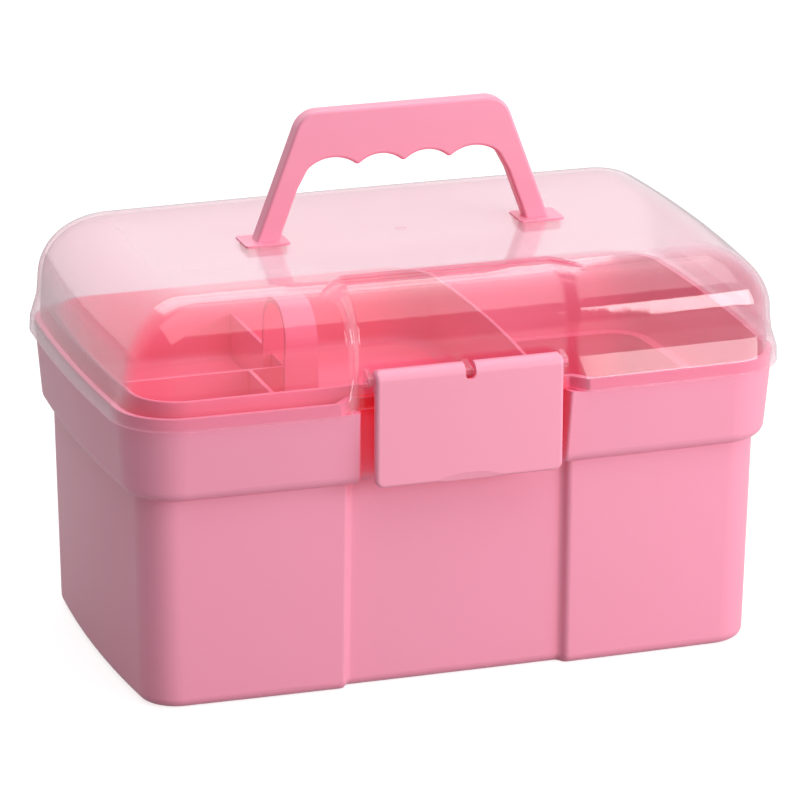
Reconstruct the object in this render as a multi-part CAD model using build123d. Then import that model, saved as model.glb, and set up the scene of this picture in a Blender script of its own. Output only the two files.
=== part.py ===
from build123d import *
import math
import os

# A carry box for make-up: a pink moulded base, a clear domed lid hinged along the rear, a carry
# handle clipped through the lid, a front latch hung on the lid and a lift-out tray inside.
# Millimetres. +X runs along the box, the front faces -Y and +Z is up. The origin is on the floor
# under the middle of the box.

# ---- Plan shared by base and lid: a rectangle with bowed sides and round corners ----
length = 330.0  # over the lid's flange
width = 197.4
corner_radius = 30.0
end_bow = 4.45  # how far an end bulges between its corners
front_bow = 2.45  # the same for the front and the rear

# ---- Front strip: the middle of the front stands back for the latch ----
step_round = 1.6  # rounding of the strip's upright edges
strip_slope = 0.9  # how far a side of the strip leans out per millimetre of depth

# ---- Base ----
wall = 2.4
floor_thick = 3.2
foot_inset = 14.2  # front and rear walls at the floor, in from the lid's outline
foot_end_inset = 12.5  # the same for the end walls
neck_inset = 12.4  # under the skirt
neck_end_inset = 10.4
foot_round = 5.0
body_corner = 17.0  # corner radius of the body
skirt_bottom = 103.0
skirt_foot_inset = 6.4
skirt_foot_end_inset = 5.7
skirt_round = 5.5
part_line = 139.6  # lower edge of the lid
lip_height = 5.3  # base lip that stands up inside the lid
body_setback = 4.2  # depth of the front strip in the body
body_strip_top = 52.3  # half width of the strip under the skirt
body_strip_foot = 52.8  # and at the floor
body_slope = 0.45  # as strip_slope, in the body
body_step_round = 3.0
skirt_strip_inset = 10.75
skirt_strip_half = 49.0
skirt_slope = 0.3  # as strip_slope, in the skirt
relief_front = -46.0  # the underside is relieved between front and rear feet
relief_rear = 64.0
relief_depth = 1.4

# ---- Lid ----
lid_wall = 2.0
lid_gap = 0.75  # lip to flange, all round
seat_gap = 0.1  # lip to the lid's inner step
flange_height = 6.5
flange_draft = 0.3
seat_step = 1.0  # width of the inner step that the lip seats under
shoulder_height = 10.0
shoulder_inset = 4.0
dome_draft = 0.5
dome_height = 56.3  # from the parting line to the top
dome_round = 27.0  # rounding into the top at the front and the rear
dome_end_round = 33.0  # and at the ends
dome_corner = 21.5
crown_corner = 7.0  # corner radius of the flat top
lid_setback = 4.2  # depth of the front strip in the dome
lid_strip_half = 50.3
crown_drop = 2.3  # the strip's top is this much lower
gate_radius = 2.6
gate_depth = 0.5

# ---- Rear hinge ----
hinge_reach = 3.2  # axis behind the flange
hinge_drop = 2.0  # axis under the parting line
hinge_place = 95.0  # middle of each hinge from the middle of the box
hinge_pin_radius = 1.5
knuckle_wall = 2.0
lid_knuckle = 14.0
base_knuckle = 10.0
knuckle_gap = 0.3
pin_clearance = 0.05
pin_head = 1.2
pin_head_reach = 1.0  # head past the shank, all round
pin_chamfer = 0.4
weld = 0.5  # how far a rib, ear or web runs into the wall that carries it
web_low = 116.0  # foot of the base's hinge webs
web_high = 133.0

# ---- Front latch ----
latch_width = 91.0
latch_bottom = 104.0
latch_wall = 2.0
roll_radius = 4.8  # the plate's top rolls over the pin
roll_end = 60.0  # degrees up from straight back
latch_reach = 2.5  # pin behind the front of the box
latch_pivot_z = 155.2
latch_pin_radius = 1.25
latch_boss_wall = 1.15
latch_pin_chamfer = 0.25
latch_cheek = 2.2  # side walls of the latch
latch_depth = 3.6  # of the side walls, front to rear
notch_width = 5.2
notch_drop = 7.5
ear_width = 3.6
side_ear = 2.4
ear_gap = 0.6
ear_drop = 6.0  # an ear meets the lid from here under the pin
ear_rise = 4.0  # to here over it
catch_half = 18.0
catch_height = 5.0
catch_low = 113.0
catch_lead = 1.0  # slope of the face that the rib rides over
catch_foot = 3.0  # the catch runs out below by this much
catch_brow = 6.0  # and above by this much
catch_gap = 0.4  # between the catch's face and the rib's tip
rib_depth = 2.0
rib_height = 3.0
rib_drop = 1.5  # rib under the catch
rib_margin = 2.0  # rib shorter than the catch at each end
latch_corner = 4.0  # lower corners of the plate
latch_shoulder = 3.0  # upper corners, at the ends of the roll, clear of the pin
latch_edge = 1.8
latch_rib_place = 15.0  # inner hinge ribs, from the middle
latch_rib = 2.4
latch_rib_drop = 9.0  # an inner rib meets the plate down to here
scoop_half = 19.7  # thumb scoop along the plate's lower edge: a shallow ball cut
scoop_depth = 1.0
scoop_height = 4.0

# ---- Carry handle ----
handle_thick = 8.8
handle_top = 257.4
handle_top_half = 49.8
handle_foot_half = 72.8
leg_foot = 11.4  # width of a leg where it meets the lid
handle_corner = 12.0
grip_share = 0.551  # height of the ridges between the fingers, from the lid to the top
grip_rise = 4.7
grip_half = 47.2  # the outer fingers end here
grip_turn = 9.0  # the legs' inner edges bend this far under the ridges
finger_pitch = 22.6
handle_edge = 1.4
grip_corner = 8.0  # where the outer fingers run into the legs
ridge_round = 2.0
foot_outer = 79.0
foot_inner = 57.0
foot_depth = 18.0
foot_flange = 0.8
slot_margin = 1.6  # the slot is this much inside the foot's flange
slot_gap = 0.25
hook_land = 1.0  # straight part of the hooks
hook_reach = 1.1
hook_height = 3.2

# ---- Tray ----
tray_end_inset = 10.7  # left end of the tray, in from the box's
tray_right = 42.5
tray_side_inset = 13.8
tray_wall = 1.9
tray_gap = 0.3  # over the ledge
tray_rim = 150.0
tray_floor = 112.0
tray_corner = 23.0
tray_cove = 5.0
grab_x = -55.0  # arch handle
divider_x = -58.0  # closes the rear pocket
divider_top = 134.5
divider_thick = 2.0
front_divider_x = -76.0  # closes the front pocket
long_divider_y = -3.5  # parts the front pocket from the rear one
grab_half = 18.5  # arch handle, front to rear
grab_top = 167.0
grab_width = 15.0
grab_foot_width = 17.5
grab_thick = 2.6

# ---- Worked out ----
lip_top = part_line + lip_height
crown = part_line + dome_height
latch_pivot_y = latch_reach - width / 2
grip_low = crown + grip_share * (handle_top - crown)
tray_left = tray_end_inset - length / 2
tray_half = width / 2 - tray_side_inset
ledge = skirt_bottom + wall
rear_y = width / 2 + hinge_reach
hinge_z = part_line - hinge_drop
knuckle_radius = hinge_pin_radius + knuckle_wall
dome_foot = part_line + flange_height + shoulder_height
dome_spring = crown - dome_round
seat = lip_top + seat_gap
hinge_span = lid_knuckle + 2 * base_knuckle + 2 * knuckle_gap
latch_face = latch_pivot_y - roll_radius
roll_middle = (180 + roll_end) / 2
latch_back = latch_face + latch_wall
boss_radius = latch_pin_radius + latch_boss_wall
latch_pin_half = latch_width / 2 + ear_gap + side_ear
scoop_circle = (scoop_half**2 + scoop_height**2) / (2 * scoop_height)
scoop_low = scoop_circle - scoop_height
scoop_reach = (scoop_circle**2 - scoop_low**2 - scoop_depth**2) / (2 * scoop_depth)
catch_face = latch_back + rib_depth + catch_gap
leg_lean = (handle_foot_half - handle_top_half) / (handle_top - crown)
tray_foot = ledge + tray_gap
rim_inset = lid_wall + lid_gap
lip_strip_half = lid_strip_half + lid_wall + lid_gap


def front_y(x, inset):
    """Front edge of the plan at x, drawn in by inset: an arc that falls back at the corners."""
    reach = length / 2 - end_bow
    arc_radius = (reach**2 + front_bow**2) / (2 * front_bow)
    return inset - width / 2 + arc_radius - math.sqrt(arc_radius**2 - x**2)


def section(height, inset, end_inset, strip_inset, corner, half, slope=strip_slope, rounding=step_round):
    """Slice of a moulding at a height: the plan drawn in at its sides, ends and front strip."""
    half_x = length / 2 - end_inset
    half_y = width / 2 - inset
    end_x = half_x - end_bow
    end_y = -front_y(end_x, inset)
    mouth = half + slope * (strip_inset - inset)
    between = (end_x + mouth) / 2
    front_left = (-end_x, -end_y)
    front_right = (end_x, -end_y)
    rear_right = (end_x, end_y)
    rear_left = (-end_x, end_y)
    mouth_left = (-mouth, front_y(mouth, inset))
    mouth_right = (mouth, front_y(mouth, inset))
    back_left = (-half, front_y(half, strip_inset))
    back_right = (half, front_y(half, strip_inset))
    edges = [
        ThreePointArc(front_left, (-between, front_y(between, inset)), mouth_left),
        Line(mouth_left, back_left),
        ThreePointArc(back_left, (0, front_y(0, strip_inset)), back_right),
        Line(back_right, mouth_right),
        ThreePointArc(mouth_right, (between, front_y(between, inset)), front_right),
        ThreePointArc(front_right, (half_x, 0), rear_right),
        ThreePointArc(rear_right, (0, half_y), rear_left),
        ThreePointArc(rear_left, (-half_x, 0), front_left),
    ]
    face = make_face(edges)
    face = fillet(face.vertices().filter_by(lambda v: abs(v.X) > end_x - 1), corner)
    face = fillet(face.vertices().filter_by(lambda v: abs(v.X) < mouth + 1), rounding)
    return Pos(0, 0, height) * face


def straight(low, high):
    """Solid with straight walls from one slice to the next."""
    return loft([low, high], ruled=True)


# ---- Base ----
def body_slice(height, extra, drawn=0):
    """Slice of the base's body; extra is 0 outside and the wall's thickness inside."""
    share = height / skirt_bottom
    inset = foot_inset + (neck_inset - foot_inset) * share + extra + drawn
    end_inset = foot_end_inset + (neck_end_inset - foot_end_inset) * share + extra + drawn
    half = body_strip_foot + (body_strip_top - body_strip_foot) * share + extra
    corner = body_corner - extra - drawn / 2
    return section(
        height, inset, end_inset, inset + body_setback, corner, half, body_slope, body_step_round
    )


def turned(low, radius, turn):
    """Height and draw-in on a rounding of this radius that stands on low."""
    height = low + radius * (1 - math.cos(math.radians(turn)))
    return height, radius * (1 - math.sin(math.radians(turn)))


def body_form(extra, lift, top):
    """The base's body as a solid block, or the hollow inside it."""
    rounding = []
    for turn in (0, 30, 60, 90):
        height, drawn = turned(lift, foot_round - extra, turn)
        rounding.append(body_slice(height, extra, drawn))
    return loft(rounding) + straight(rounding[-1], body_slice(top, extra))


def skirt_slice(height, extra, half, slope, drawn=0):
    """Slice of the wide upper part of the base, drawn in further where its lower edge rounds."""
    share = min((height - skirt_bottom) / (part_line - skirt_bottom), 1)
    inset = skirt_foot_inset + (rim_inset - skirt_foot_inset) * share + extra + drawn
    end_inset = skirt_foot_end_inset + (rim_inset - skirt_foot_end_inset) * share + extra + drawn
    strip_inset = skirt_strip_inset + extra + drawn
    return section(height, inset, end_inset, strip_inset, corner_radius - inset, half + extra, slope)


def lip_slice(height, extra):
    """Slice of the base's lip, whose strip keeps clear of the lid's; also the hollow below it."""
    return skirt_slice(height, extra, lip_strip_half, strip_slope)


def skirt_form():
    """The base's skirt with its rounded lower edge and the lip, as a solid block."""
    rounding = []
    for turn in (0, 30, 60, 90):
        height, drawn = turned(skirt_bottom, skirt_round, turn)
        rounding.append(skirt_slice(height, 0, skirt_strip_half, skirt_slope, drawn))
    taper = straight(rounding[-1], skirt_slice(part_line, 0, skirt_strip_half, skirt_slope))
    return loft(rounding) + taper + straight(lip_slice(part_line, 0), lip_slice(lip_top, 0))


def skirt_hollow():
    """The hollow inside the skirt and the lip."""
    taper = straight(lip_slice(ledge, wall), lip_slice(part_line, wall))
    return taper + straight(lip_slice(part_line, wall), lip_slice(lip_top + 1, wall))


def barrel(middle, size, radius, y, z):
    """Cylinder along X."""
    return Pos(middle, y, z) * Rot(0, 90, 0) * Cylinder(radius, size)


def web(middle, size, radius, y, z, root):
    """Plate across X that joins a round boss at (y, z) to the edge that carries it."""
    outline = make_hull([CenterArc((y, z), radius, 0, 360), Line(*root)])
    return extrude(Plane.YZ.offset(middle - size / 2) * outline, size)


def base_shell():
    """Base: body, skirt, lip, hinge knuckles and latch catch in one moulding."""
    outside = body_form(0, 0, skirt_bottom + wall) + skirt_form()
    hollow = body_form(wall, floor_thick, ledge) + skirt_hollow()
    shell = outside - hollow
    relief_middle = (relief_front + relief_rear) / 2
    shell -= Pos(0, relief_middle, 0) * Box(2 * length, relief_rear - relief_front, 2 * relief_depth)
    root = ((skirt_wall_y(web_low), web_low), (skirt_wall_y(web_high), web_high))
    for side in (-1, 1):
        for step in (-1, 1):
            middle = side * hinge_place + step * (lid_knuckle / 2 + knuckle_gap + base_knuckle / 2)
            shell += web(middle, base_knuckle, knuckle_radius, rear_y, hinge_z, root)
        shell -= barrel(side * hinge_place, 2 * hinge_span, hinge_pin_radius + pin_clearance, rear_y, hinge_z)
    return shell + latch_catch()


def skirt_wall_y(height):
    """Middle of the skirt's rear wall beside a hinge."""
    share = (height - skirt_bottom) / (part_line - skirt_bottom)
    inset = skirt_foot_inset + (rim_inset - skirt_foot_inset) * share
    return -front_y(hinge_place, inset) - wall / 2


def hinge_pin(side):
    """Hinge pin with a flat head on its outer end."""
    shank = barrel(side * hinge_place, hinge_span, hinge_pin_radius, rear_y, hinge_z)
    inner_edge = shank.edges().filter_by(GeomType.CIRCLE).sort_by(Axis.X)[0 if side > 0 else -1]
    shank = chamfer(inner_edge, pin_chamfer)
    head_middle = side * (hinge_place + hinge_span / 2 + pin_head / 2)
    head = barrel(head_middle, pin_head, hinge_pin_radius + pin_head_reach, rear_y, hinge_z)
    outer_edge = head.edges().filter_by(GeomType.CIRCLE).sort_by(Axis.X)[-1 if side > 0 else 0]
    return shank + fillet(outer_edge, pin_head / 2)


def latch_catch():
    """Catch block on the base's front strip, which the latch's rib closes under."""
    root_y = skirt_strip_inset - width / 2 + wall / 2
    catch_top = catch_low + catch_height
    profile = Polyline(
        (root_y, catch_low - catch_foot),
        (catch_face + catch_lead, catch_low),
        (catch_face, catch_low + catch_lead),
        (catch_face, catch_top - catch_lead),
        (root_y, catch_top + catch_brow),
        close=True,
    )
    return extrude(Plane.YZ.offset(-catch_half) * make_face(profile), 2 * catch_half)


# ---- Lid ----
def flange_slice(height, extra):
    """Slice of the lid's flange."""
    inset = flange_draft * (height - part_line) / flange_height + extra
    strip_inset = skirt_strip_inset - lid_gap - lid_wall + extra
    return section(height, inset, inset, strip_inset, corner_radius - inset, lid_strip_half + extra)


def fall(rise, radius):
    """How far a rounding of this radius has drawn in when it has risen this far."""
    share = max(0, min(rise / radius, 1))
    return radius * (1 - math.sqrt(1 - share**2))


def dome_slice(height, extra):
    """Slice of the dome at a height."""
    top = crown - extra
    inset = shoulder_inset + dome_draft + extra
    sides = inset + fall(height - top + dome_round - extra, dome_round - extra)
    end_drawn = fall(height - top + dome_end_round - extra, dome_end_round - extra)
    strip = inset + fall(height - top + dome_round - extra + crown_drop, dome_round - extra) + lid_setback
    corner = dome_corner - extra + (crown_corner - dome_corner) * end_drawn / dome_end_round
    return section(height, sides, inset + end_drawn, strip, corner, lid_strip_half + extra)


def shoulder_slice(extra):
    """Slice where the lid's shoulder meets the dome."""
    inset = shoulder_inset + extra
    return section(
        dome_foot, inset, inset, inset + lid_setback, dome_corner - extra, lid_strip_half + extra
    )


def dome_form(extra):
    """The dome above its shoulder, closed by its flat top."""
    top = crown - extra
    radius = dome_end_round - extra
    turns = (0, 13, 26, 39, 52, 62)
    rising = [dome_slice(top - radius * (1 - math.sin(math.radians(turn))), extra) for turn in turns]
    rising.append(dome_slice(top - crown_drop, extra))
    closing = [dome_slice(top - crown_drop * share, extra) for share in (1, 0.3, 0)]
    return straight(shoulder_slice(extra), rising[0]) + loft(rising) + loft(closing)


def lid_cover():
    """Clear lid: flange, shoulder and dome, with its ears, knuckles and handle slots."""
    flange_top = part_line + flange_height
    outside = straight(flange_slice(part_line, 0), flange_slice(flange_top, 0))
    outside += straight(flange_slice(flange_top, 0), shoulder_slice(0))
    outside += dome_form(0)
    hollow = straight(flange_slice(part_line - 1, lid_wall), flange_slice(seat, lid_wall))
    inset = shoulder_inset + lid_wall - seat_step
    seat_slice = section(
        seat, inset, inset, inset + lid_setback, corner_radius - inset, lid_strip_half + lid_wall
    )
    hollow += straight(seat_slice, shoulder_slice(lid_wall))
    hollow += dome_form(lid_wall)
    cover = outside - hollow
    rear_root = -front_y(hinge_place, 0) - lid_wall / 2
    root = ((rear_root, part_line + weld), (rear_root, flange_top))
    for side in (-1, 1):
        knuckle = web(side * hinge_place, lid_knuckle, knuckle_radius, rear_y, hinge_z, root)
        cover += knuckle - barrel(
            side * hinge_place, lid_knuckle, hinge_pin_radius + pin_clearance, rear_y, hinge_z
        )
    for middle, size in ear_places():
        cover += latch_ear(middle, size)
    cover -= barrel(0, 2 * latch_pin_half, latch_pin_radius, latch_pivot_y, latch_pivot_z)
    for side in (-1, 1):
        cover -= handle_slot(side)
    return cover - gate_mark()


def ear_places():
    """Middle and width of each ear that holds the latch's pin."""
    side = latch_pin_half - side_ear / 2
    return [(-side, side_ear), (0, ear_width), (side, side_ear)]


def latch_ear(middle, size):
    """Ear on the lid's front strip, with the latch's pin through its end."""
    foot_y = front_y(middle, shoulder_inset + lid_setback) + lid_wall / 2
    root = ((foot_y - weld, latch_pivot_z - ear_drop), (foot_y, latch_pivot_z + ear_rise))
    return web(middle, size, boss_radius, latch_pivot_y, latch_pivot_z, root)


def handle_slot(side):
    """Opening in the lid's top for one foot of the carry handle."""
    middle = side * (foot_outer + foot_inner) / 2
    size_x = foot_outer - foot_inner - 2 * slot_margin
    return Pos(middle, 0, crown) * Box(size_x, foot_depth - 2 * slot_margin, 4 * lid_wall)


def gate_mark():
    """Shallow dimple that the moulding gate leaves in the middle of the lid."""
    dimple = Pos(0, 0, crown) * Cylinder(gate_radius, 2 * gate_depth)
    return dimple - Pos(0, 0, crown - gate_depth) * Cylinder(gate_radius / 2, gate_depth)


# ---- Carry handle ----
def handle_side():
    """Outline of the handle seen from the front, down to the lid's top."""
    inner_foot = handle_foot_half - leg_foot
    bend_z = grip_low - grip_turn
    bend = inner_foot - leg_lean * (bend_z - crown)
    ridges = [-grip_half, -finger_pitch, 0, finger_pitch, grip_half]
    fingers = [
        ThreePointArc((left, grip_low), ((left + right) / 2, grip_low + grip_rise), (right, grip_low))
        for left, right in zip(ridges, ridges[1:])
    ]
    outer = Polyline(
        (grip_half, grip_low),
        (bend, bend_z),
        (inner_foot, crown),
        (handle_foot_half, crown),
        (handle_top_half, handle_top),
        (-handle_top_half, handle_top),
        (-handle_foot_half, crown),
        (-inner_foot, crown),
        (-bend, bend_z),
        (-grip_half, grip_low),
    )
    face = make_face(fingers + [outer])
    roundings = [
        (handle_corner, handle_top, handle_top_half),
        (grip_corner, bend_z, bend),
        (grip_corner, grip_low, grip_half),
        (ridge_round, grip_low, finger_pitch),
        (ridge_round, grip_low, 0),
    ]
    for radius, height, place in roundings:
        corners = face.vertices().filter_by(
            lambda v: abs(v.Y - height) < 0.1 and abs(abs(v.X) - place) < 0.1
        )
        face = fillet(corners, radius)
    return face


def handle_foot(side):
    """Foot of a leg: a flange on the lid, a block through the slot and hooks under the lid."""
    middle = side * (foot_outer + foot_inner) / 2
    size_x = foot_outer - foot_inner
    flange = Pos(middle, 0, crown + foot_flange / 2) * Box(size_x, foot_depth, foot_flange)
    flange = fillet(flange.edges().filter_by(Axis.Z), slot_margin)
    flange = fillet(flange.faces().sort_by(Axis.Z)[-1].edges(), foot_flange / 3)
    block_x = size_x - 2 * (slot_margin + slot_gap)
    block_y = foot_depth - 2 * (slot_margin + slot_gap)
    block_low = crown - lid_wall - hook_height - slot_gap
    block = Pos(middle, 0, (crown + block_low) / 2) * Box(block_x, block_y, crown - block_low)
    hook_top = crown - lid_wall - slot_gap / 2
    hook = Polyline(
        (block_y / 2, block_low),
        (block_y / 2 + hook_reach, hook_top - hook_land),
        (block_y / 2 + hook_reach, hook_top),
        (-block_y / 2 - hook_reach, hook_top),
        (-block_y / 2 - hook_reach, hook_top - hook_land),
        (-block_y / 2, block_low),
        close=True,
    )
    hooks = extrude(Plane.YZ.offset(middle - block_x / 2) * make_face(hook), block_x)
    return flange + block + hooks


def carry_handle():
    """Handle: a bar with finger grips on two leaning legs, clipped through the lid."""
    bar = extrude(Plane.XZ.offset(-handle_thick / 2) * handle_side(), handle_thick)
    faces = bar.faces().filter_by(Axis.Y)
    rims = [edge for face in faces for edge in face.edges() if (edge @ 0.5).Z > crown + 1]
    bar = fillet(rims, handle_edge)
    return bar + handle_foot(-1) + handle_foot(1)


# ---- Latch ----
def on_roll(radius, turn):
    """Point (y, z) of the latch's roll at turn degrees from straight back."""
    angle = math.radians(turn)
    return (latch_pivot_y + radius * math.cos(angle), latch_pivot_z + radius * math.sin(angle))


def latch_profile():
    """Side view of the latch as a solid: plate, roll and cheek."""
    rear = latch_face + latch_depth
    return make_face([
        Line((rear, latch_bottom), (latch_face, latch_bottom)),
        Line((latch_face, latch_bottom), on_roll(roll_radius, 180)),
        ThreePointArc(on_roll(roll_radius, 180), on_roll(roll_radius, roll_middle), on_roll(roll_radius, roll_end)),
        Line(on_roll(roll_radius, roll_end), on_roll(boss_radius, 0)),
        Line(on_roll(boss_radius, 0), (rear, latch_pivot_z - 3 * boss_radius)),
        Line((rear, latch_pivot_z - 3 * boss_radius), (rear, latch_bottom)),
    ])


def latch_hollow():
    """Side view of the room behind the plate and inside the roll."""
    inner = roll_radius - latch_wall
    beyond = latch_pivot_y + 4 * roll_radius
    roll_tip = on_roll(roll_radius + 1, roll_end)
    return make_face([
        Line((latch_back, latch_bottom - 1), on_roll(inner, 180)),
        ThreePointArc(on_roll(inner, 180), on_roll(inner, roll_middle), on_roll(inner, roll_end)),
        Line(on_roll(inner, roll_end), roll_tip),
        Line(roll_tip, (beyond, roll_tip[1])),
        Line((beyond, roll_tip[1]), (beyond, latch_bottom - 1)),
        Line((beyond, latch_bottom - 1), (latch_back, latch_bottom - 1)),
    ])


def front_latch():
    """Latch: a rolled plate with cheeks and hinge ribs, a snap rib and a thumb scoop."""
    half = latch_width / 2
    block = extrude(Plane.YZ.offset(-half) * latch_profile(), latch_width)
    corners = block.edges().filter_by(Axis.Y).sort_by(Axis.Z)[0:2]
    block = fillet(corners, latch_corner)
    front = block.faces().filter_by(Axis.Y).sort_by(Axis.Y)[0]
    block = fillet([edge for edge in front.edges() if (edge @ 0.5).Z < latch_pivot_z - 1], latch_edge)
    latch_top = latch_pivot_z + roll_radius
    outline = Pos(0, (latch_top + latch_bottom) / 2) * Rectangle(latch_width, latch_top - latch_bottom)
    outline = fillet(outline.vertices().sort_by(Axis.Y)[-2:], latch_shoulder)
    block &= extrude(Plane.XZ.offset(-latch_face) * outline, -4 * roll_radius)
    room = extrude(Plane.YZ.offset(-half + latch_cheek) * latch_hollow(), latch_width - 2 * latch_cheek)
    latch = block - room
    rib_root = ((latch_back - weld, latch_pivot_z - latch_rib_drop), (latch_back - weld, latch_pivot_z))
    for side in (-1, 1):
        latch += web(side * latch_rib_place, latch_rib, boss_radius, latch_pivot_y, latch_pivot_z, rib_root)
    bore = latch_pin_radius + pin_clearance
    latch -= barrel(0, 2 * latch_width, bore, latch_pivot_y, latch_pivot_z)
    rib_z = catch_low - rib_drop - rib_height / 2
    rib_half = catch_half - rib_margin
    rib = Box(2 * rib_half, rib_depth + 2 * weld, rib_height)
    rib = Pos(0, latch_back + rib_depth / 2 - weld, rib_z) * rib
    latch += fillet(rib.faces().sort_by(Axis.Y)[-1].edges().filter_by(Axis.X), rib_depth / 3)
    scoop = Sphere(math.hypot(scoop_circle, scoop_reach))
    scoop = Pos(0, latch_face - scoop_reach, latch_bottom - scoop_low) * scoop
    notch_floor = latch_pivot_z + roll_radius - notch_drop + notch_width / 2
    notch = Pos(0, latch_pivot_y, notch_floor) * Rot(90, 0, 0) * Cylinder(notch_width / 2, 4 * roll_radius)
    notch += Pos(0, latch_pivot_y, notch_floor + roll_radius) * Box(
        notch_width, 4 * roll_radius, 2 * roll_radius
    )
    return latch - notch - scoop


def latch_pin():
    """Pin through the lid's ears and the latch."""
    pin = barrel(0, 2 * latch_pin_half, latch_pin_radius, latch_pivot_y, latch_pivot_z)
    return chamfer(pin.edges().filter_by(GeomType.CIRCLE), latch_pin_chamfer)


# ---- Tray ----
def tray_plan(drawn):
    """Plan of the tray, drawn in all round."""
    middle = (tray_left + tray_right) / 2
    half_x = (tray_right - tray_left) / 2 - drawn
    half_y = tray_half - drawn
    end_x = half_x - end_bow
    face = make_face([
        Line((-end_x, -half_y), (end_x, -half_y)),
        ThreePointArc((end_x, -half_y), (half_x, 0), (end_x, half_y)),
        Line((end_x, half_y), (-end_x, half_y)),
        ThreePointArc((-end_x, half_y), (-half_x, 0), (-end_x, -half_y)),
    ])
    return Pos(middle, 0) * fillet(face.vertices(), tray_corner - drawn)


def tray_grab():
    """Arch that lifts the tray: a strap across it that widens towards its feet."""
    low = tray_floor - tray_wall / 2
    inner_half = grab_half - grab_thick
    outer = Pos(0, (low + grab_top) / 2) * Rectangle(2 * grab_half, grab_top - low)
    outer = fillet(outer.vertices().sort_by(Axis.Y)[-2:], grab_half - 1)
    inner_top = grab_top - grab_thick
    inner = Pos(0, (low - 1 + inner_top) / 2) * Rectangle(2 * inner_half, inner_top - low + 1)
    inner = fillet(inner.vertices().sort_by(Axis.Y)[-2:], inner_half - 1)
    strap = extrude(Plane.YZ.offset(grab_x - grab_foot_width) * (outer - inner), 2 * grab_foot_width)
    flare = Polyline(
        (grab_x - grab_foot_width / 2, low),
        (grab_x + grab_foot_width / 2, low),
        (grab_x + grab_width / 2, grab_top),
        (grab_x - grab_width / 2, grab_top),
        close=True,
    )
    return strap & extrude(Plane.XZ.offset(-2 * grab_half) * make_face(flare), 4 * grab_half)


def lift_out_tray():
    """Tray with pockets in its left part and an arch to lift it by."""
    tray = extrude(Pos(0, 0, tray_foot) * tray_plan(0), tray_rim - tray_foot)
    pocket = extrude(Pos(0, 0, tray_floor) * tray_plan(tray_wall), tray_rim - tray_floor + 1)
    pocket = fillet(pocket.faces().sort_by(Axis.Z)[0].edges(), tray_cove)
    under = extrude(Pos(0, 0, tray_foot - 1) * tray_plan(2 * tray_wall), tray_floor - tray_wall - tray_foot + 1)
    tray = tray - pocket - under
    tray = fillet(tray.faces().sort_by(Axis.Z)[-1].edges(), tray_wall / 3)
    wall_low = tray_floor - tray_wall / 2
    wall_high = divider_top - wall_low
    wall_z = (divider_top + wall_low) / 2
    left_end = tray_left + tray_wall / 2
    side_end = tray_half - tray_wall / 2
    dividers = [
        (left_end, divider_x, long_divider_y - divider_thick / 2, long_divider_y + divider_thick / 2),
        (front_divider_x - divider_thick / 2, front_divider_x + divider_thick / 2, -side_end, long_divider_y),
        (divider_x - divider_thick / 2, divider_x + divider_thick / 2, long_divider_y, side_end),
    ]
    for x_low, x_high, y_low, y_high in dividers:
        block = Box(x_high - x_low, y_high - y_low, wall_high)
        tray += Pos((x_low + x_high) / 2, (y_low + y_high) / 2, wall_z) * block
    return tray + tray_grab()


if __name__ == "__main__":
    os.makedirs("parts", exist_ok=True)
    export_step(base_shell(), "parts/base_shell.step")
    export_step(lid_cover(), "parts/lid_cover.step")
    export_step(hinge_pin(-1), "parts/hinge_pin_left.step")
    export_step(hinge_pin(1), "parts/hinge_pin_right.step")
    export_step(carry_handle(), "parts/carry_handle.step")
    export_step(front_latch(), "parts/front_latch.step")
    export_step(latch_pin(), "parts/latch_pin.step")
    export_step(lift_out_tray(), "parts/lift_out_tray.step")
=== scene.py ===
import math

import bpy
from mathutils import Matrix, Vector

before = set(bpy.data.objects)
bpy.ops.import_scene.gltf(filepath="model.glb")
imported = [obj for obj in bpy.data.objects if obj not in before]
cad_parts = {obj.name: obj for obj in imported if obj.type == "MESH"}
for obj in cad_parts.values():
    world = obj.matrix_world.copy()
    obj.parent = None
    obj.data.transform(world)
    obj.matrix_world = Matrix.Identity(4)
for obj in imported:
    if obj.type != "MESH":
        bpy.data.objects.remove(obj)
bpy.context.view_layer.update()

# A carry box for make-up: pink moulded base, clear lid, carry handle, front latch and lift-out tray.
# Metres. +X runs along the box, the front faces -Y and +Z is up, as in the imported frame.
print("frame loaded:", ", ".join(sorted(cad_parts)))


# ---- small helpers ----
def toLinear(hexColour):
    # an sRGB hex value as the linear colour that shaders take
    channels = [int(hexColour[place:place + 2], 16) / 255 for place in (1, 3, 5)]
    linear = [((c + 0.055) / 1.055) ** 2.4 if c > 0.04045 else c / 12.92 for c in channels]
    return (*linear, 1.0)


def addNode(tree, kind, settings=None, links=None):
    # one shader node with its settings and what feeds it
    node = tree.nodes.new(kind)
    for name, value in (settings or {}).items():
        if isinstance(name, str) and name not in node.inputs:
            setattr(node, name, value)
        else:
            node.inputs[name].default_value = value
    for name, source in (links or {}).items():
        tree.links.new(source, node.inputs[name])
    return node


def newMaterial(name):
    # an empty material with its node tree and output
    material = bpy.data.materials.new(name)
    material.use_nodes = True
    tree = material.node_tree
    tree.nodes.clear()
    return material, tree, addNode(tree, "ShaderNodeOutputMaterial")


# places of the Mix node's sockets: factor, first, second and result
mixSockets = {"FLOAT": (0, 2, 3, 0), "RGBA": (0, 6, 7, 2)}


def mixed(tree, kind, factor, first, second):
    # first where the factor is 0, second where it is 1; each may be a value or a socket
    node = addNode(tree, "ShaderNodeMix", {"data_type": kind})
    *places, result = mixSockets[kind]
    for place, value in zip(places, (factor, first, second)):
        if isinstance(value, bpy.types.NodeSocket):
            tree.links.new(value, node.inputs[place])
        else:
            node.inputs[place].default_value = value
    return node.outputs[result]


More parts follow.
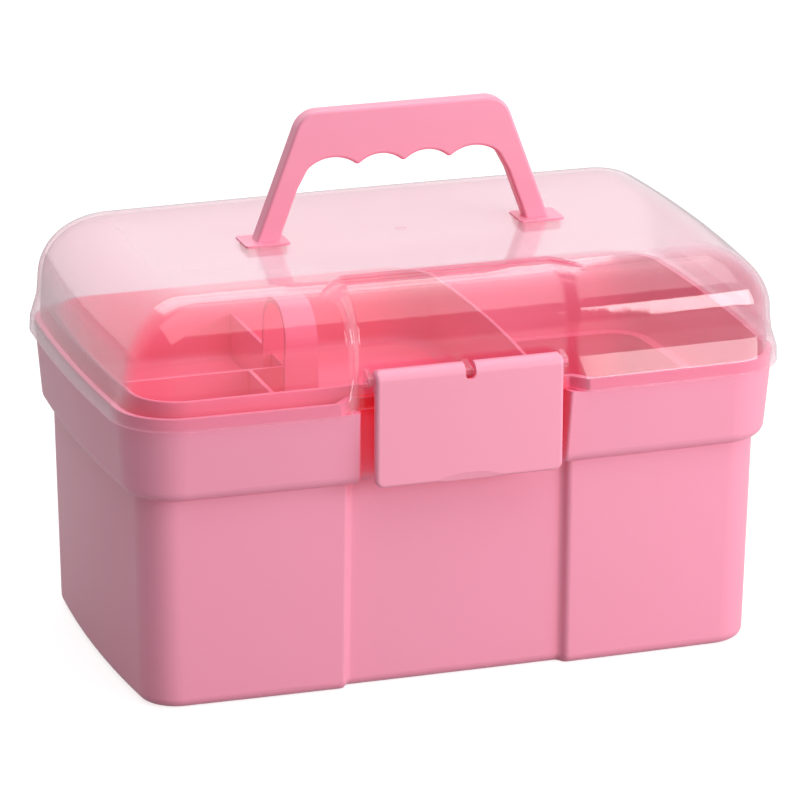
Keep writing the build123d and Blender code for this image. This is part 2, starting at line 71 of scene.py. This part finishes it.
def mixShaders(tree, factor, first, second):
    # first where the factor is 0, second where it is 1
    return addNode(tree, "ShaderNodeMixShader", {}, {0: factor, 1: first, 2: second}).outputs[0]


def larger(tree, first, second):
    # the larger of two numbers, which for two kinds of ray means either of them
    return addNode(tree, "ShaderNodeMath", {"operation": "MAXIMUM"}, {0: first, 1: second}).outputs[0]


def noiseOf(tree, place, size, detail=2.0, roughness=0.5):
    # noise whose features are about this size
    return addNode(tree, "ShaderNodeTexNoise", {
        "Scale": 1 / size, "Detail": detail, "Roughness": roughness,
    }, {"Vector": place}).outputs[0]


def relief(tree, height, depth, under=None, strength=1.0):
    # normal of a surface with small waves, laid over the waves under it
    links = {"Height": height}
    if under is not None:
        links["Normal"] = under
    bump = addNode(tree, "ShaderNodeBump", {"Strength": strength, "Distance": depth}, links)
    return bump.outputs["Normal"]


def spread(tree, look, source):
    # roughness that wanders with the source, evenly about its middle value
    return addNode(tree, "ShaderNodeMapRange", {
        "To Min": look["roughness"] - look["roughnessSpread"],
        "To Max": look["roughness"] + look["roughnessSpread"],
    }, {"Value": source}).outputs["Result"]


def dress(nodeName, material):
    # gives a CAD node its material
    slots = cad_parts[nodeName].data.materials
    slots.clear()
    slots.append(material)


# ---- materials ----
def paintedShadeBox(tree, place, look):
    # 1 in a box round the latch's recess, fading to 0 at the box's sides; it bounds the painted shade
    offset = addNode(tree, "ShaderNodeVectorMath", {"operation": "SUBTRACT", 1: look["paintedShadeMiddle"]},
                     {0: place})
    distance = addNode(tree, "ShaderNodeVectorMath", {"operation": "ABSOLUTE"},
                       {0: offset.outputs["Vector"]})
    share = addNode(tree, "ShaderNodeVectorMath", {"operation": "DIVIDE", 1: look["paintedShadeHalf"]},
                    {0: distance.outputs["Vector"]})
    axes = addNode(tree, "ShaderNodeSeparateXYZ", {}, {"Vector": share.outputs["Vector"]}).outputs
    beside = larger(tree, larger(tree, axes["X"], axes["Y"]), axes["Z"])
    return addNode(tree, "ShaderNodeMapRange", {"From Min": 1.0, "From Max": look["paintedShadeEdge"]},
                   {"Value": beside}).outputs["Result"]


# Polypropylene, injection moulded in a polished tool: satin gloss, and a faint orange peel from the
# flow of the melt. A deep red is painted into the narrow gap behind the latch, where an occlusion test
# finds little open sky: painted shade that stands in for the light bounced there often.
# The thin walls let some red light through, so shadows behind them glow.
def mouldedPolypropylene(name, look):
    material, tree, output = newMaterial(name)
    place = addNode(tree, "ShaderNodeTexCoord").outputs["Object"]
    flow = noiseOf(tree, place, look["flowSize"], look["flowDetail"], look["flowRough"])
    peel = noiseOf(tree, place, look["peelSize"])
    grain = noiseOf(tree, place, look["grainSize"], roughness=look["grainRough"])
    skin = mixed(tree, "RGBA", flow, toLinear(look["colour"]), toLinear(look["flowColour"]))
    # painted shade: an occlusion test finds the recess, and the colour there is turned a deep red
    shade = addNode(tree, "ShaderNodeAmbientOcclusion", {
        "samples": look["paintedShadeSamples"], "Distance": look["paintedShadeReach"],
    })
    depth = addNode(tree, "ShaderNodeMapRange", {
        "From Min": look["paintedShadeOpen"], "From Max": look["paintedShadeShut"], "To Min": 0.0, "To Max": look["paintedShadeStrength"],
    }, {"Value": shade.outputs["AO"]})
    paintedShadeAmount = addNode(tree, "ShaderNodeMath", {"operation": "MULTIPLY"},
                    {0: depth.outputs["Result"], 1: paintedShadeBox(tree, place, look)})
    # the painted shade: deep red mixed into the colour inside the box round the latch's recess
    skin = mixed(tree, "RGBA", paintedShadeAmount.outputs[0], skin, toLinear(look["paintedShadeRed"]))
    waves = relief(tree, peel, look["peelDepth"])
    plastic = addNode(tree, "ShaderNodeBsdfPrincipled", {"IOR": look["refraction"]}, {
        "Base Color": skin, "Roughness": spread(tree, look, flow),
        "Normal": relief(tree, grain, look["grainDepth"], waves),
    })
    rays = addNode(tree, "ShaderNodeLightPath")
    through = addNode(tree, "ShaderNodeBsdfTransparent", {"Color": toLinear(look["through"])})
    whole = mixShaders(tree, rays.outputs["Is Shadow Ray"], plastic.outputs["BSDF"], through.outputs[0])
    tree.links.new(whole, output.inputs["Surface"])
    return material


# Styrene, injection moulded and clear: a hard gloss, a pale pink tint, and a milkiness that grows
# where the wall is seen at a low angle, because the eye then looks through more of it.
def clearStyrene(name, look):
    material, tree, output = newMaterial(name)
    place = addNode(tree, "ShaderNodeTexCoord").outputs["Object"]
    waves = relief(tree, noiseOf(tree, place, look["flowSize"]), look["flowDepth"])
    clear = addNode(tree, "ShaderNodeBsdfTransparent", {"Color": toLinear(look["tint"])})
    milk = addNode(tree, "ShaderNodeBsdfPrincipled", {
        "Base Color": toLinear(look["milk"]), "Roughness": look["milkRoughness"],
        "IOR": look["refraction"],
    }, {"Normal": waves})
    slant = addNode(tree, "ShaderNodeLayerWeight")
    steep = addNode(tree, "ShaderNodeMath", {"operation": "POWER", 1: look["hazePower"]},
                    {0: slant.outputs["Facing"]})
    haze = addNode(tree, "ShaderNodeMapRange", {
        "To Min": look["milkiness"], "To Max": look["lowHaze"],
    }, {"Value": steep.outputs[0]})
    wall = mixShaders(tree, haze.outputs["Result"], clear.outputs[0], milk.outputs["BSDF"])
    # the wall's inner face mirrors as much as its outer one
    side = addNode(tree, "ShaderNodeNewGeometry")
    bend = addNode(tree, "ShaderNodeMapRange", {
        "To Min": look["refraction"], "To Max": 1 / look["refraction"],
    }, {"Value": side.outputs["Backfacing"]})
    mirror = addNode(tree, "ShaderNodeFresnel", {}, {"IOR": bend.outputs["Result"]})
    gloss = addNode(tree, "ShaderNodeBsdfGlossy", {"Roughness": look["roughness"]}, {"Normal": waves})
    body = mixShaders(tree, mirror.outputs["Fac"], wall, gloss.outputs[0])
    # rays that only carry light pass straight through, tinted, so the inside is lit
    rays = addNode(tree, "ShaderNodeLightPath")
    passing = larger(tree, rays.outputs["Is Shadow Ray"], rays.outputs["Is Diffuse Ray"])
    straight = addNode(tree, "ShaderNodeBsdfTransparent", {"Color": toLinear(look["shadow"])})
    whole = mixShaders(tree, passing, body, straight.outputs[0])
    tree.links.new(whole, output.inputs["Surface"])
    return material


# Steel wire, bright drawn: fine scratches along the pin.
def drawnSteel(name, look):
    material, tree, output = newMaterial(name)
    place = addNode(tree, "ShaderNodeTexCoord").outputs["Object"]
    along = addNode(tree, "ShaderNodeMapping", {"Scale": (look["stretch"], 1.0, 1.0)}, {"Vector": place})
    scratches = noiseOf(tree, along.outputs["Vector"], look["scratchSize"])
    steel = addNode(tree, "ShaderNodeBsdfPrincipled", {
        "Base Color": toLinear(look["colour"]), "Metallic": 1.0,
    }, {"Roughness": spread(tree, look, scratches)})
    tree.links.new(steel.outputs["BSDF"], output.inputs["Surface"])
    return material


# ---- looks, one for each piece ----
# Sizes and depths are in metres. Through is the light that a thin wall lets into its shadow. The
# painted shade values say where the recess behind the latch is painted a deep red in place of bounced
# light: a box about its middle, and in it the share of open sky, from open to shut, over which the
# painted red comes in.
baseLook = {
    "colour": "#F49BB5", "flowColour": "#F298B2", "flowSize": 0.07, "flowDetail": 3.0, "flowRough": 0.55,
    "peelSize": 0.006, "peelDepth": 0.00002,
    "grainSize": 0.0008, "grainDepth": 0.000003, "grainRough": 0.6,
    "roughness": 0.31, "roughnessSpread": 0.03, "refraction": 1.49, "through": "#CB6474",
    # painted shade: a deep red painted into the recess behind the latch, standing in for bounced light
    "paintedShadeReach": 0.02, "paintedShadeSamples": 8, "paintedShadeOpen": 0.75, "paintedShadeShut": 0.25,
    "paintedShadeRed": "#FF3540", "paintedShadeStrength": 1.0,
    "paintedShadeMiddle": (0.0, -0.096, 0.128), "paintedShadeHalf": (0.052, 0.014, 0.036), "paintedShadeEdge": 0.93,
}
# only the base takes the painted shade
handleLook = dict(baseLook, paintedShadeStrength=0.0)
latchLook = dict(baseLook, colour="#F59FB7", flowColour="#F39CB4", paintedShadeStrength=0.0)
# painted light: the tray's pink is a lighter, redder copy of the base's, so the inside of the box reads
# lighter
trayLook = dict(baseLook, colour="#FB97AF", flowColour="#F994AC", paintedShadeStrength=0.0)
lidLook = {
    "tint": "#FEF4F7", "milk": "#F8E0E9", "milkRoughness": 0.5, "milkiness": 0.03,
    "lowHaze": 0.9, "hazePower": 3.0, "shadow": "#FFE3ED", "roughness": 0.06, "refraction": 1.57,
    "flowSize": 0.05, "flowDepth": 0.00003,
}
pinLook = {
    "colour": "#B9BABD", "roughness": 0.3, "roughnessSpread": 0.08,
    "stretch": 0.05, "scratchSize": 0.0003,
}

dress("base_shell", mouldedPolypropylene("pinkPolypropyleneBase", baseLook))
dress("lift_out_tray", mouldedPolypropylene("pinkPolypropyleneTray", trayLook))
dress("carry_handle", mouldedPolypropylene("pinkPolypropyleneHandle", handleLook))
dress("front_latch", mouldedPolypropylene("pinkPolypropyleneLatch", latchLook))
dress("lid_cover", clearStyrene("clearPinkStyrene", lidLook))
pinSteel = drawnSteel("drawnSteelWire", pinLook)
for pin in ("hinge_pin_left", "hinge_pin_right"):
    dress(pin, pinSteel)
dress("latch_pin", mouldedPolypropylene("pinkPolypropyleneRod", latchLook))
print("pieces dressed")


# ---- studio ----
# Each lamp has its power in watts, its size and its place, and looks at lampAim. The sky that gloss
# mirrors goes from front to back between the two turn values, read along +Y.
studio = {
    "floorSize": 14.0, "floorColour": "#A0A0A0", "floorGlow": 0.8, "floorMirrored": 0.3,
    "fibreSize": 1 / 900, "fibreDepth": 0.00005, "fibreStrength": 0.2,
    "skySeen": 1.0, "skyForLight": 0.34, "skyMirroredFront": 0.25, "skyMirroredBack": 1.0,
    "skyTurnFront": -0.35, "skyTurnBack": 0.45,
    "keyPower": 32.0, "keySize": (2.6, 2.6), "keyAt": (0.15, -0.6, 2.1),
    "mainPower": 14.0, "mainSize": (1.0, 0.6), "mainAt": (0.95, -1.0, 0.4),
    "rearPower": 16.0, "rearSize": (1.6, 1.2), "rearAt": (0.1, 1.4, 1.9),
    "lampAim": (0, 0, 0.11),
}


def paperFloor():
    # matt white paper; it keeps the box's shadow, and reads as white to the camera and in gloss
    material, tree, output = newMaterial("mattWhitePaper")
    place = addNode(tree, "ShaderNodeTexCoord").outputs["Object"]
    fibre = noiseOf(tree, place, studio["fibreSize"])
    paper = addNode(tree, "ShaderNodeBsdfDiffuse", {"Color": toLinear(studio["floorColour"])}, {
        "Normal": relief(tree, fibre, studio["fibreDepth"], strength=studio["fibreStrength"]),
    })
    rays = addNode(tree, "ShaderNodeLightPath")
    mirrored = addNode(tree, "ShaderNodeMath", {"operation": "MULTIPLY", 1: studio["floorMirrored"]},
                       {0: rays.outputs["Is Glossy Ray"]})
    seen = larger(tree, rays.outputs["Is Camera Ray"], rays.outputs["Is Transmission Ray"])
    strength = mixed(tree, "FLOAT", seen, mirrored.outputs[0], studio["floorGlow"])
    glow = addNode(tree, "ShaderNodeEmission", {}, {"Strength": strength})
    both = addNode(tree, "ShaderNodeAddShader", {}, {0: paper.outputs[0], 1: glow.outputs[0]})
    tree.links.new(both.outputs[0], output.inputs["Surface"])
    half = studio["floorSize"] / 2
    corners = [(-half, -half, 0), (half, -half, 0), (half, half, 0), (-half, half, 0)]
    mesh = bpy.data.meshes.new("floor")
    mesh.from_pydata(corners, [], [(0, 1, 2, 3)])
    floor = bpy.data.objects.new("floor", mesh)
    mesh.materials.append(material)
    bpy.context.scene.collection.objects.link(floor)


def paleSky():
    # white where it is seen; where it is mirrored, white behind the box and dim before it, as in a
    # studio with a white backdrop; and softer where it lights the box
    world = bpy.data.worlds.new("paleSky")
    bpy.context.scene.world = world
    world.use_nodes = True
    tree = world.node_tree
    tree.nodes.clear()
    direction = addNode(tree, "ShaderNodeSeparateXYZ", {}, {
        "Vector": addNode(tree, "ShaderNodeTexCoord").outputs["Generated"],
    })
    backdrop = addNode(tree, "ShaderNodeMapRange", {
        "interpolation_type": "SMOOTHSTEP",
        "From Min": studio["skyTurnFront"], "From Max": studio["skyTurnBack"],
        "To Min": studio["skyMirroredFront"], "To Max": studio["skyMirroredBack"],
    }, {"Value": direction.outputs["Y"]})
    rays = addNode(tree, "ShaderNodeLightPath")
    mirrored = mixed(tree, "FLOAT", rays.outputs["Is Glossy Ray"], studio["skyForLight"],
                     backdrop.outputs["Result"])
    seen = larger(tree, rays.outputs["Is Camera Ray"], rays.outputs["Is Transmission Ray"])
    strength = mixed(tree, "FLOAT", seen, mirrored, studio["skySeen"])
    sky = addNode(tree, "ShaderNodeBackground", {"Color": toLinear("#FFFFFF")}, {"Strength": strength})
    output = addNode(tree, "ShaderNodeOutputWorld")
    tree.links.new(sky.outputs[0], output.inputs["Surface"])


def softbox(name, place, aim, size, power):
    # rectangular lamp that looks at a point
    lamp = bpy.data.lights.new(name, "AREA")
    lamp.shape = "RECTANGLE"
    lamp.size, lamp.size_y = size
    lamp.energy = power
    piece = bpy.data.objects.new(name, lamp)
    bpy.context.scene.collection.objects.link(piece)
    piece.location = place
    piece.rotation_euler = (Vector(place) - Vector(aim)).to_track_quat("Z", "Y").to_euler()


paperFloor()
paleSky()
for lamp in ("key", "main", "rear"):
    softbox(lamp + "Softbox", studio[lamp + "At"], studio["lampAim"], studio[lamp + "Size"],
            studio[lamp + "Power"])
print("studio lit")


# ---- camera, at the photograph's angle ----
# Angles in degrees but for the roll, which is in radians; lens and sensor in millimetres.
cameraLook = {
    "place": (-0.79785, -2.34571, 0.93908), "azimuth": -18.7847, "elevation": 18.4898,
    "roll": 0.005207, "lens": 246.95, "sensor": 36.0, "farthest": 100.0,
}


def photoCamera(look):
    azimuth, elevation = math.radians(look["azimuth"]), math.radians(look["elevation"])
    back = Vector((math.sin(azimuth) * math.cos(elevation), -math.cos(azimuth) * math.cos(elevation),
                   math.sin(elevation)))
    right = Vector((math.cos(azimuth), math.sin(azimuth), 0))
    up = back.cross(right)
    turnedRight = right * math.cos(look["roll"]) + up * math.sin(look["roll"])
    turnedUp = up * math.cos(look["roll"]) - right * math.sin(look["roll"])
    camera = bpy.data.cameras.new("photoCamera")
    camera.lens = look["lens"]
    camera.sensor_width = look["sensor"]
    camera.clip_end = look["farthest"]
    piece = bpy.data.objects.new("photoCamera", camera)
    bpy.context.scene.collection.objects.link(piece)
    axes = Matrix((turnedRight, turnedUp, back)).transposed()
    piece.matrix_world = Matrix.Translation(look["place"]) @ axes.to_4x4()
    bpy.context.scene.camera = piece


photoCamera(cameraLook)
bpy.context.scene.view_settings.view_transform = "Standard"
print("camera set")
